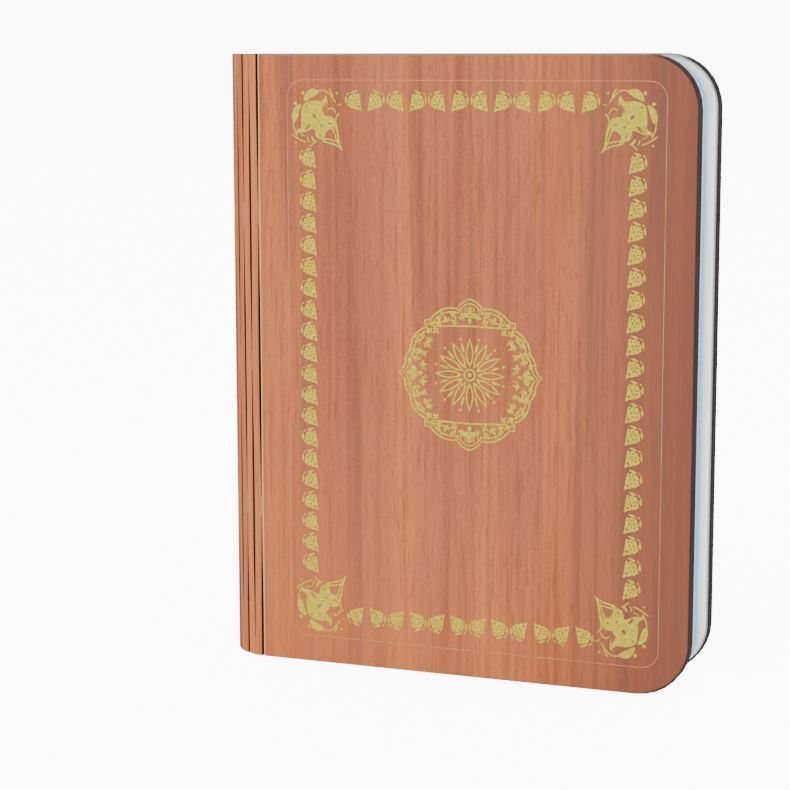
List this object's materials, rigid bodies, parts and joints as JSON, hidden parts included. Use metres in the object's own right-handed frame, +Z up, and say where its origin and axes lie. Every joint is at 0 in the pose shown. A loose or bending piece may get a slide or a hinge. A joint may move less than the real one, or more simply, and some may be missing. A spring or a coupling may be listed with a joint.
{
  "type": "folding book lamp",
  "caption": "Book-shaped lamp: two wooden covers on a slit spine that bends, opening round a lit core with a fan of paper leaves.",
  "frame": {"origin": "middle of the foot of the closed lamp, at the height of the lower edges that it stands on", "axes": "+Z up along the spine, +X from the spine towards the fore-edge, -Y out of the front cover"},
  "size_m": [0.1718, 0.034, 0.215],
  "materials": {
    "walnut_board": "satin veneer with upright grain, laser-charred edges",
    "spine_slat": "satin veneer, a little lighter than the boards, charred slit walls",
    "gold_print": "thin khaki-gold printed film",
    "paste_down": "matt synthetic paper sheet",
    "page_paper": "matt translucent synthetic paper",
    "magnet": "nickel-plated",
    "core_shell": "matt",
    "diffuser": "frosted translucent",
    "circuit_board": "solder mask",
    "light_board": "white solder mask with pale yellow chips",
    "battery_wrap": "shrink sleeve",
    "steel": "plated",
    "dark_plastic": "matt",
    "eye_plastic": "smoked clear"
  },
  "bodies": {
    "core": {"spine_slat_08": "spine_slat", "core_back_shell": "core_shell", "core_diffuser": "diffuser", "top_cap": "core_shell", "bottom_cap": "core_shell", "top_cap_screw_front": "steel", "top_cap_screw_back": "steel", "bottom_cap_screw_front": "steel", "bottom_cap_screw_back": "steel", "led_board": "light_board", "battery_cell_low": "battery_wrap", "battery_cell_high": "battery_wrap", "control_board": "circuit_board", "usb_socket": "steel", "speaker_driver": "dark_plastic", "switch_board": "circuit_board", "press_switch": "dark_plastic", "remote_eye": "eye_plastic"},
    "slat_01": {"spine_slat_01": "spine_slat", "page_leaf_01": "page_paper"},
    "slat_02": {"spine_slat_02": "spine_slat", "page_leaf_02": "page_paper"},
    "slat_03": {"spine_slat_03": "spine_slat", "page_leaf_03": "page_paper"},
    "slat_04": {"spine_slat_04": "spine_slat", "page_leaf_04": "page_paper"},
    "slat_05": {"spine_slat_05": "spine_slat", "page_leaf_05": "page_paper"},
    "slat_06": {"spine_slat_06": "spine_slat", "page_leaf_06": "page_paper"},
    "slat_07": {"spine_slat_07": "spine_slat", "page_leaf_07": "page_paper"},
    "slat_09": {"spine_slat_09": "spine_slat", "page_leaf_08": "page_paper"},
    "slat_10": {"spine_slat_10": "spine_slat", "page_leaf_09": "page_paper"},
    "slat_11": {"spine_slat_11": "spine_slat", "page_leaf_10": "page_paper"},
    "slat_12": {"spine_slat_12": "spine_slat", "page_leaf_11": "page_paper"},
    "slat_13": {"spine_slat_13": "spine_slat", "page_leaf_12": "page_paper"},
    "slat_14": {"spine_slat_14": "spine_slat", "page_leaf_13": "page_paper"},
    "slat_15": {"spine_slat_15": "spine_slat", "page_leaf_14": "page_paper"},
    "front_cover": {"front_board": "walnut_board", "front_paste_down": "paste_down", "front_magnet_low": "magnet", "front_magnet_high": "magnet"},
    "back_cover": {"back_board": "walnut_board", "back_paste_down": "paste_down", "back_magnet_low": "magnet", "back_magnet_high": "magnet"},
    "button": {"power_button": "dark_plastic"}
  },
  "joints": [
    {"name": "spine_hinge_08", "type": "hinge", "parent": "core", "child": "slat_07", "pos_m": [-0.0839, -0.00148, 0], "axis": [0, 0, -1], "range_deg": [0, 23]},
    {"name": "spine_hinge_07", "type": "hinge", "parent": "slat_07", "child": "slat_06", "pos_m": [-0.08332, -0.00438, 0], "axis": [0, 0, -1], "range_deg": [0, 23]},
    {"name": "spine_hinge_06", "type": "hinge", "parent": "slat_06", "child": "slat_05", "pos_m": [-0.08219, -0.00711, 0], "axis": [0, 0, -1], "range_deg": [0, 23]},
    {"name": "spine_hinge_05", "type": "hinge", "parent": "slat_05", "child": "slat_04", "pos_m": [-0.08055, -0.00956, 0], "axis": [0, 0, -1], "range_deg": [0, 23]},
    {"name": "spine_hinge_04", "type": "hinge", "parent": "slat_04", "child": "slat_03", "pos_m": [-0.07846, -0.01165, 0], "axis": [0, 0, -1], "range_deg": [0, 23]},
    {"name": "spine_hinge_03", "type": "hinge", "parent": "slat_03", "child": "slat_02", "pos_m": [-0.076, -0.01329, 0], "axis": [0, 0, -1], "range_deg": [0, 23]},
    {"name": "spine_hinge_02", "type": "hinge", "parent": "slat_02", "child": "slat_01", "pos_m": [-0.07327, -0.01442, 0], "axis": [0, 0, -1], "range_deg": [0, 23]},
    {"name": "spine_hinge_01", "type": "hinge", "parent": "slat_01", "child": "front_cover", "pos_m": [-0.07037, -0.015, 0], "axis": [0, 0, -1], "range_deg": [0, 23]},
    {"name": "spine_hinge_09", "type": "hinge", "parent": "core", "child": "slat_09", "pos_m": [-0.0839, 0.00148, 0], "axis": [0, 0, 1], "range_deg": [0, 23]},
    {"name": "spine_hinge_10", "type": "hinge", "parent": "slat_09", "child": "slat_10", "pos_m": [-0.08332, 0.00438, 0], "axis": [0, 0, 1], "range_deg": [0, 23]},
    {"name": "spine_hinge_11", "type": "hinge", "parent": "slat_10", "child": "slat_11", "pos_m": [-0.08219, 0.00711, 0], "axis": [0, 0, 1], "range_deg": [0, 23]},
    {"name": "spine_hinge_12", "type": "hinge", "parent": "slat_11", "child": "slat_12", "pos_m": [-0.08055, 0.00956, 0], "axis": [0, 0, 1], "range_deg": [0, 23]},
    {"name": "spine_hinge_13", "type": "hinge", "parent": "slat_12", "child": "slat_13", "pos_m": [-0.07846, 0.01165, 0], "axis": [0, 0, 1], "range_deg": [0, 23]},
    {"name": "spine_hinge_14", "type": "hinge", "parent": "slat_13", "child": "slat_14", "pos_m": [-0.076, 0.01329, 0], "axis": [0, 0, 1], "range_deg": [0, 23]},
    {"name": "spine_hinge_15", "type": "hinge", "parent": "slat_14", "child": "slat_15", "pos_m": [-0.07327, 0.01442, 0], "axis": [0, 0, 1], "range_deg": [0, 23]},
    {"name": "spine_hinge_16", "type": "hinge", "parent": "slat_15", "child": "back_cover", "pos_m": [-0.07037, 0.015, 0], "axis": [0, 0, 1], "range_deg": [0, 23]},
    {"name": "power_button_press", "type": "slide", "parent": "core", "child": "button", "axis": [0, 0, -1], "range_m": [0, 0.0006], "stiffness_N_per_m": 500}
  ],
  "couplings": [
    {"joint": "spine_hinge_07", "follows": "spine_hinge_08", "ratio": 1},
    {"joint": "spine_hinge_06", "follows": "spine_hinge_08", "ratio": 1},
    {"joint": "spine_hinge_05", "follows": "spine_hinge_08", "ratio": 1},
    {"joint": "spine_hinge_04", "follows": "spine_hinge_08", "ratio": 1},
    {"joint": "spine_hinge_03", "follows": "spine_hinge_08", "ratio": 1},
    {"joint": "spine_hinge_02", "follows": "spine_hinge_08", "ratio": 1},
    {"joint": "spine_hinge_01", "follows": "spine_hinge_08", "ratio": 1},
    {"joint": "spine_hinge_10", "follows": "spine_hinge_09", "ratio": 1},
    {"joint": "spine_hinge_11", "follows": "spine_hinge_09", "ratio": 1},
    {"joint": "spine_hinge_12", "follows": "spine_hinge_09", "ratio": 1},
    {"joint": "spine_hinge_13", "follows": "spine_hinge_09", "ratio": 1},
    {"joint": "spine_hinge_14", "follows": "spine_hinge_09", "ratio": 1},
    {"joint": "spine_hinge_15", "follows": "spine_hinge_09", "ratio": 1},
    {"joint": "spine_hinge_16", "follows": "spine_hinge_09", "ratio": 1}
  ]
}
